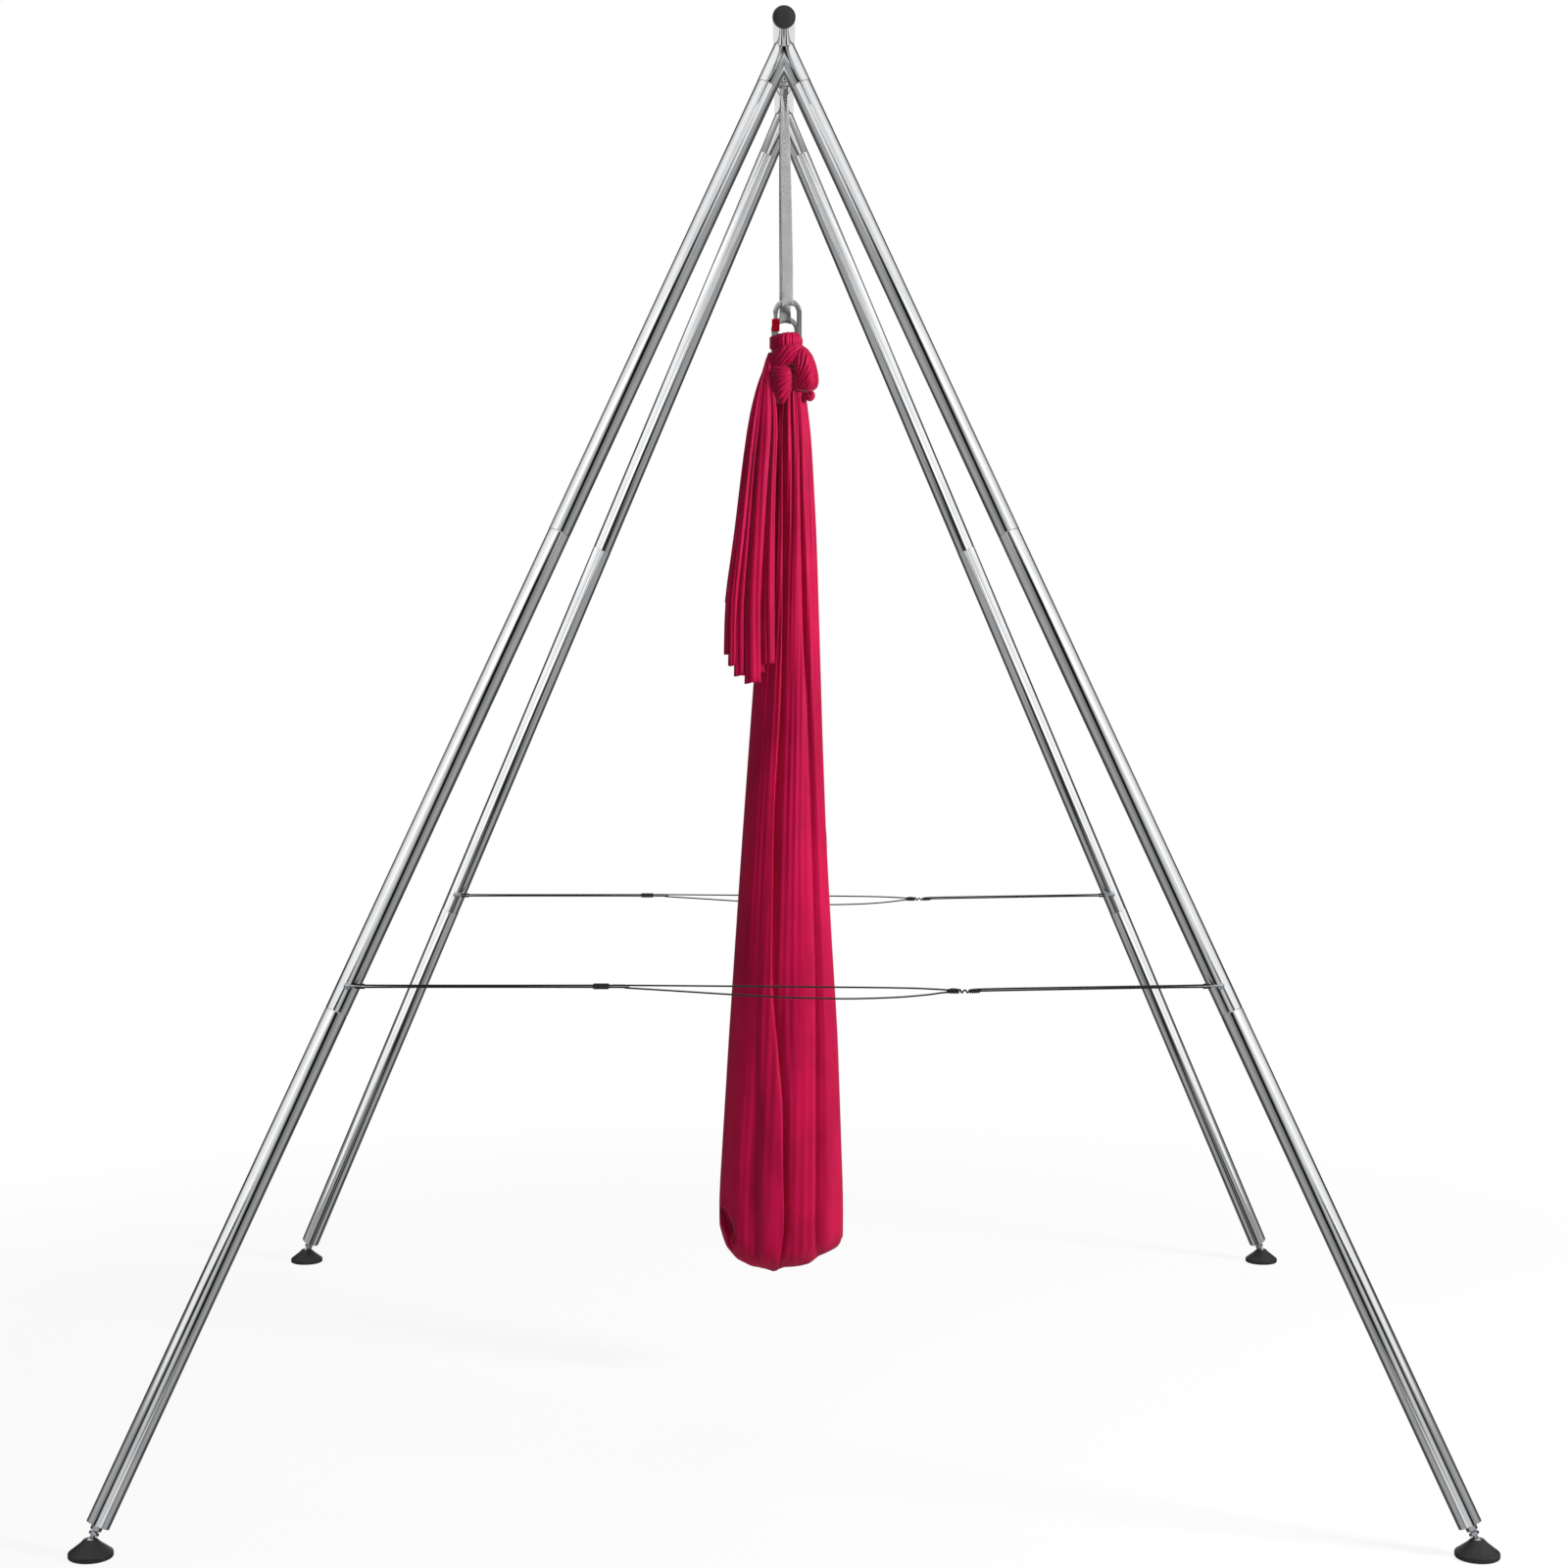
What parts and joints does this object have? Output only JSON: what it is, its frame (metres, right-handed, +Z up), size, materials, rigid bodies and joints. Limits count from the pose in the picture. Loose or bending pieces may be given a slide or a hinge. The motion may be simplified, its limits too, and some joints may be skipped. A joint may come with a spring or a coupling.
{
  "type": "aerial rig with hammock",
  "caption": "Free-standing tube rig with a top bar, splayed legs on swivel pads, a webbing sling, screw-gate carabiners and a knotted cloth aerial hammock.",
  "frame": {"origin": "on the floor, under the middle of the stand", "axes": "+Z up; Y along the top bar, with the pictured end at -Y; +X to the right in the picture"},
  "size_m": [2.633, 2.387, 2.9328],
  "materials": {
    "chrome_tube": "polished chrome plate on steel tube",
    "steel": "bright zinc or polished steel",
    "cap_plastic": "matte dark grey",
    "black_plastic": "satin black",
    "rubber": "matte black",
    "cord": "braided black",
    "webbing": "woven light grey",
    "red_sleeve": "glossy red",
    "cloth": "crimson satin knit"
  },
  "bodies": {
    "frame": {"top_bar": "chrome_tube", "bar_cap_front": "cap_plastic", "bar_cap_rear": "cap_plastic", "leg_upper_front_left": "chrome_tube", "leg_upper_front_right": "chrome_tube", "leg_upper_rear_left": "chrome_tube", "leg_upper_rear_right": "chrome_tube", "leg_middle_front_left": "chrome_tube", "leg_middle_front_right": "chrome_tube", "leg_middle_rear_left": "chrome_tube", "leg_middle_rear_right": "chrome_tube", "leg_lower_front_left": "chrome_tube", "leg_lower_front_right": "chrome_tube", "leg_lower_rear_left": "chrome_tube", "leg_lower_rear_right": "chrome_tube", "leg_plug_front_left": "steel", "leg_plug_front_right": "steel", "leg_plug_rear_left": "steel", "leg_plug_rear_right": "steel", "tether_bolt_front_left": "steel", "tether_bolt_front_right": "steel", "tether_bolt_rear_left": "steel", "tether_bolt_rear_right": "steel", "tether_nut_front_left": "steel", "tether_nut_front_right": "steel", "tether_nut_rear_left": "steel", "tether_nut_rear_right": "steel", "tether_hook_front_left": "steel", "tether_hook_front_right": "steel", "tether_hook_rear_left": "steel", "tether_hook_rear_right": "steel", "tether_cord_front": "cord", "tether_cord_rear": "cord"},
    "foot_front_left": {"foot_stud_front_left": "steel", "foot_nut_front_left": "steel"},
    "pad_front_left": {"foot_pad_front_left": "rubber"},
    "foot_front_right": {"foot_stud_front_right": "steel", "foot_nut_front_right": "steel"},
    "pad_front_right": {"foot_pad_front_right": "rubber"},
    "foot_rear_left": {"foot_stud_rear_left": "steel", "foot_nut_rear_left": "steel"},
    "pad_rear_left": {"foot_pad_rear_left": "rubber"},
    "foot_rear_right": {"foot_stud_rear_right": "steel", "foot_nut_rear_right": "steel"},
    "pad_rear_right": {"foot_pad_rear_right": "rubber"},
    "slider_front": {"tether_slider_front": "black_plastic"},
    "gate_front": {"carabiner_gate_front": "steel"},
    "sleeve_front": {"carabiner_sleeve_front": "red_sleeve"},
    "slider_rear": {"tether_slider_rear": "black_plastic"},
    "gate_rear": {"carabiner_gate_rear": "steel"},
    "sleeve_rear": {"carabiner_sleeve_rear": "red_sleeve"},
    "sling_wrap": {"sling_bar_turns": "webbing"},
    "sling": {"sling_runs": "webbing", "carabiner_body_front": "steel", "carabiner_body_rear": "steel", "carabiner_pin_front": "steel", "carabiner_pin_rear": "steel", "hammock_knot": "cloth", "hammock_body": "cloth", "hammock_tail": "cloth"}
  },
  "joints": [
    {"name": "foot_height_front_left", "type": "slide", "parent": "frame", "child": "foot_front_left", "axis": [-0.3967, -0.2343, -0.8876], "range_m": [0, 0.015]},
    {"name": "pad_tilt_front_left", "type": "hinge", "parent": "foot_front_left", "child": "pad_front_left", "pos_m": [-1.275, -1.152, 0.03], "axis": [-0.5085, 0.861, 0], "range_deg": [-3.6, 58.4]},
    {"name": "foot_height_front_right", "type": "slide", "parent": "frame", "child": "foot_front_right", "axis": [0.3967, -0.2343, -0.8876], "range_m": [0, 0.015]},
    {"name": "pad_tilt_front_right", "type": "hinge", "parent": "foot_front_right", "child": "pad_front_right", "pos_m": [1.275, -1.152, 0.03], "axis": [-0.5085, -0.861, 0], "range_deg": [-3.6, 58.4]},
    {"name": "foot_height_rear_left", "type": "slide", "parent": "frame", "child": "foot_rear_left", "axis": [-0.3967, 0.2343, -0.8876], "range_m": [0, 0.015]},
    {"name": "pad_tilt_rear_left", "type": "hinge", "parent": "foot_rear_left", "child": "pad_rear_left", "pos_m": [-1.275, 1.152, 0.03], "axis": [0.5085, 0.861, 0], "range_deg": [-3.6, 58.4]},
    {"name": "foot_height_rear_right", "type": "slide", "parent": "frame", "child": "foot_rear_right", "axis": [0.3967, 0.2343, -0.8876], "range_m": [0, 0.015]},
    {"name": "pad_tilt_rear_right", "type": "hinge", "parent": "foot_rear_right", "child": "pad_rear_right", "pos_m": [1.275, 1.152, 0.03], "axis": [0.5085, -0.861, 0], "range_deg": [-3.6, 58.4]},
    {"name": "slider_move_front", "type": "slide", "parent": "frame", "child": "slider_front", "axis": [1, 0, 0], "range_m": [-0.06, 0]},
    {"name": "slider_move_rear", "type": "slide", "parent": "frame", "child": "slider_rear", "axis": [1, 0, 0], "range_m": [-0.06, 0]},
    {"name": "sling_swing_sideways", "type": "hinge", "parent": "frame", "child": "sling_wrap", "pos_m": [0, 0, 2.9075], "axis": [0, 1, 0], "range_deg": [-30, 30]},
    {"name": "sling_swing_along_bar", "type": "hinge", "parent": "sling_wrap", "child": "sling", "pos_m": [0, 0, 2.8786], "axis": [1, 0, 0], "range_deg": [-20, 20]},
    {"name": "gate_open_front", "type": "hinge", "parent": "sling", "child": "gate_front", "pos_m": [-0.01825, -0.01, 2.3321], "axis": [0, 1, 0], "range_deg": [0, 22], "stiffness_Nm_per_rad": 0.5, "springref_deg": -11.46},
    {"name": "sleeve_lock_front", "type": "slide", "parent": "gate_front", "child": "sleeve_front", "axis": [0, 0, -1], "range_m": [-0.01, 0]},
    {"name": "gate_open_rear", "type": "hinge", "parent": "sling", "child": "gate_rear", "pos_m": [-0.02325, 0.01, 2.2951], "axis": [0, 1, 0], "range_deg": [0, 22], "stiffness_Nm_per_rad": 0.5, "springref_deg": -11.46},
    {"name": "sleeve_lock_rear", "type": "slide", "parent": "gate_rear", "child": "sleeve_rear", "axis": [0, 0, -1], "range_m": [-0.01, 0]}
  ]
}
